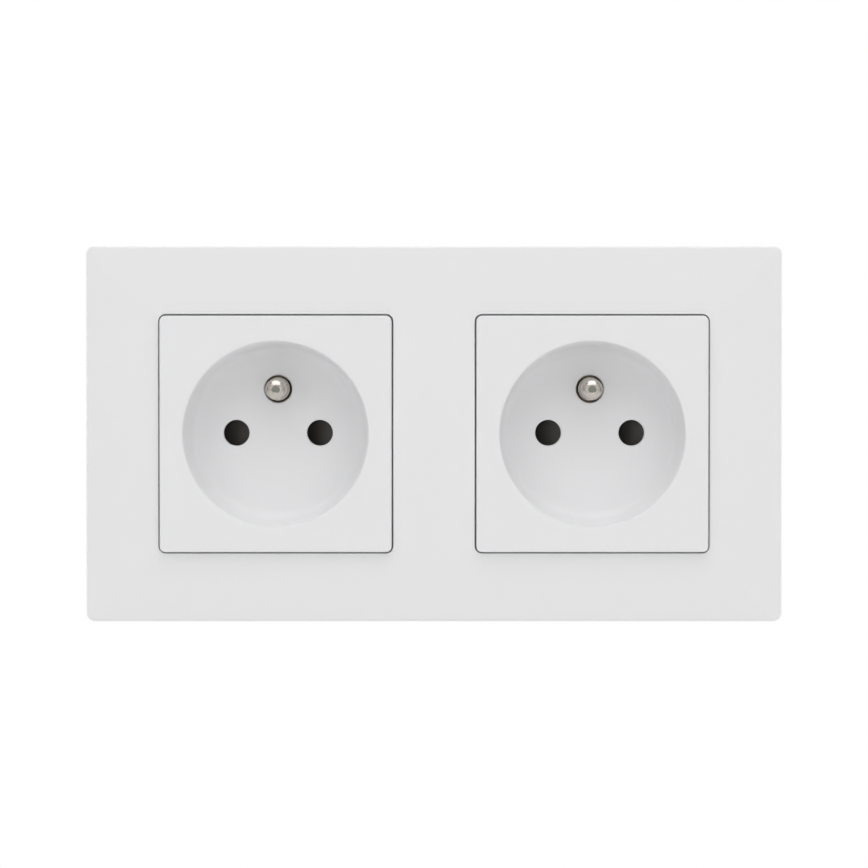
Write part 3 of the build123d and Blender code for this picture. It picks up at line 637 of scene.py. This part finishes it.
def makeSpring(gang):
    # a circle of wire carried along a helix about X; each end closes to a point
    spring = coilSpring
    low, high = boxInMm(gang + "_shutter_spring")
    wire = spring["wire"] / 2
    coil = (high[1] - low[1]) / 2 - wire
    share = np.linspace(0, 1, spring["turns"] * spring["stepsPerTurn"] + 1)[:, None]
    angle = 2 * pi * spring["turns"] * share
    length = high[0] - low[0] - 2 * wire
    radial = np.hstack([0 * angle, np.cos(angle), np.sin(angle)])
    centre = np.array([low[0] + wire, *((low + high)[1:] / 2)])
    line = centre + coil * radial + length * share * np.array([1, 0, 0])
    slope = np.hstack([0 * angle + length, -coil * 2 * pi * spring["turns"] * np.sin(angle),
                       coil * 2 * pi * spring["turns"] * np.cos(angle)])
    slope /= np.linalg.norm(slope, axis=1)[:, None]
    side = np.cross(slope, radial)
    around = np.arange(spring["ring"]) * 2 * pi / spring["ring"]
    tube = (line[:, None] + wire * np.cos(around)[None, :, None] * radial[:, None]
            + wire * np.sin(around)[None, :, None] * side[:, None])
    ends = np.repeat(line[[0, -1]][:, None], spring["ring"], axis=1)
    rings = np.concatenate([ends[:1], tube, ends[1:]])
    sheet = (rings.reshape(-1, 3), gridQuads(len(rings), spring["ring"]))
    return buildPiece(gang + "Spring", [sheet], spring["crease"])


for gang in gangs:
    spring = makeSpring(gang)
    settle(spring, "outlet", "spring_steel", gang + "_shutter_spring")
    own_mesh(spring)
print("springs done")


# Rear pieces: smooth copies of the solids with eased edges

easedEdges = {
    "socket_base": {"name": "Base", "width": 0.25, "finish": "base_plastic"},
    "mounting_yoke": {"name": "Yoke", "width": 0.12, "finish": "yoke_steel"},
    "terminal_screws": {"name": "Screws", "width": 0.1, "finish": "screw_steel"}}
easing = {"crease": 30, "flatLimit": 0.4, "hardEdge": 40, "segments": 2}  # the first three in degrees


def easedCopy(node, name, width):
    # the node's triangles merged into flat faces, smooth where round, with a small bevel on hard edges
    mesh = nodes[node].data.copy()
    piece = finishMesh(name, mesh, easing["crease"], easing["flatLimit"])
    bevel = piece.modifiers.new("eased", "BEVEL")
    bevel.width = width * mm
    bevel.segments = easing["segments"]
    bevel.limit_method = "ANGLE"
    bevel.angle_limit = radians(easing["hardEdge"])
    bevel.harden_normals = True
    return piece


for gang in gangs:
    for part, ease in easedEdges.items():
        node = gang + "_" + part
        settle(easedCopy(node, gang + ease["name"], ease["width"]), "outlet", ease["finish"], node)
print("rear pieces done")


# Floor, light and camera

studio = {
    "floorDrop": 0.25, "floorMiddle": (0, -0.1), "floorRadius": 1.45, "floorSides": 180,
    "floorTone": (0.86, 0.86, 0.865, 1), "floorRoughness": 0.7,
    "softboxes": {
        "key": {"place": (0, -0.72, 1.07), "size": (1.4, 1.1), "power": 9.4},
        "front": {"place": (0, -1.7, 0.1), "size": (2.6, 1.2), "power": 6.0},
        "left": {"place": (-1.4, -1.1, 0.4), "size": (1.5, 2.0), "power": 5.1},
        "right": {"place": (1.4, -1.1, 0.4), "size": (1.5, 2.0), "power": 5.1},
        "crown": {"place": (0, 0.55, 1.25), "size": (1.4, 0.8), "power": 10.0},
        "rearLeft": {"place": (-1.3, 0.55, 0.1), "size": (0.8, 0.7), "power": 7.0},
        "rearRight": {"place": (1.3, 0.55, 0.1), "size": (0.8, 0.7), "power": 7.0},
        "rear": {"place": (0, 1.35, 0.7), "size": (1.6, 1.0), "power": 6.0}},
    "ambient": 0.06, "backdrop": 1.0,
    "faceDistance": 0.835, "cameraRise": 0.015, "viewWidth": 0.1943, "sensor": 36.0, "clipStart": 0.01}


def makeFloor():
    # a round sheet, all of it in front of the softboxes
    level = cadBox[0].z - studio["floorDrop"]
    rim = circleLoop(studio["floorMiddle"], studio["floorRadius"], studio["floorSides"])
    points = np.column_stack([rim, np.full(len(rim), level)])
    mesh = bpy.data.meshes.new("floor")
    mesh.from_pydata(points.tolist(), [], [range(len(rim))])
    floor = bpy.data.objects.new("floor", mesh)
    bpy.context.scene.collection.objects.link(floor)
    material = bpy.data.materials.new("paleFloor")
    material.use_nodes = True
    shader = material.node_tree.nodes["Principled BSDF"]
    shader.inputs["Base Color"].default_value = studio["floorTone"]
    shader.inputs["Roughness"].default_value = studio["floorRoughness"]
    mesh.materials.append(material)


def makeLights():
    # a softbox above, wide ones in front and to both sides, four behind the plate for its edges and back
    for name, softbox in studio["softboxes"].items():
        light = bpy.data.lights.new(name, "AREA")
        light.shape = "RECTANGLE"
        light.size, light.size_y = softbox["size"]
        light.energy = softbox["power"]
        lamp = bpy.data.objects.new(name, light)
        lamp.location = softbox["place"]
        lamp.rotation_euler = (-lamp.location).to_track_quat("-Z", "Y").to_euler()
        bpy.context.scene.collection.objects.link(lamp)


def makeWorld():
    # soft grey light all round, and a white ground where the camera looks past the object
    world = bpy.data.worlds.new("studio")
    world.use_nodes = True
    tree = world.node_tree
    tree.nodes.clear()
    soft = addNode(tree, "ShaderNodeBackground", values={"Strength": studio["ambient"]})
    white = addNode(tree, "ShaderNodeBackground", values={"Strength": studio["backdrop"]})
    for background in (soft, white):
        background.inputs["Color"].default_value = (1, 1, 1, 1)
    path = addNode(tree, "ShaderNodeLightPath")
    mix = addNode(tree, "ShaderNodeMixShader")
    output = addNode(tree, "ShaderNodeOutputWorld")
    tree.links.new(path.outputs["Is Camera Ray"], mix.inputs[0])
    tree.links.new(soft.outputs[0], mix.inputs[1])
    tree.links.new(white.outputs[0], mix.inputs[2])
    tree.links.new(mix.outputs[0], output.inputs["Surface"])
    bpy.context.scene.world = world


def makeCamera():
    data = bpy.data.cameras.new("camera")
    data.sensor_width = studio["sensor"]
    data.lens = studio["sensor"] * studio["faceDistance"] / studio["viewWidth"]
    data.clip_start = studio["clipStart"]
    camera = bpy.data.objects.new("camera", data)
    # a little above the plate's middle, looking at it
    camera.location = (0, cadBox[0].y - studio["faceDistance"], studio["cameraRise"])
    camera.rotation_euler = (pi / 2 - atan2(studio["cameraRise"], studio["faceDistance"]), 0, 0)
    bpy.context.scene.collection.objects.link(camera)
    bpy.context.scene.camera = camera


makeFloor()
makeLights()
makeWorld()
makeCamera()
bpy.context.scene.view_settings.view_transform = "Standard"
bpy.context.scene.view_settings.look = "None"
print("studio done")
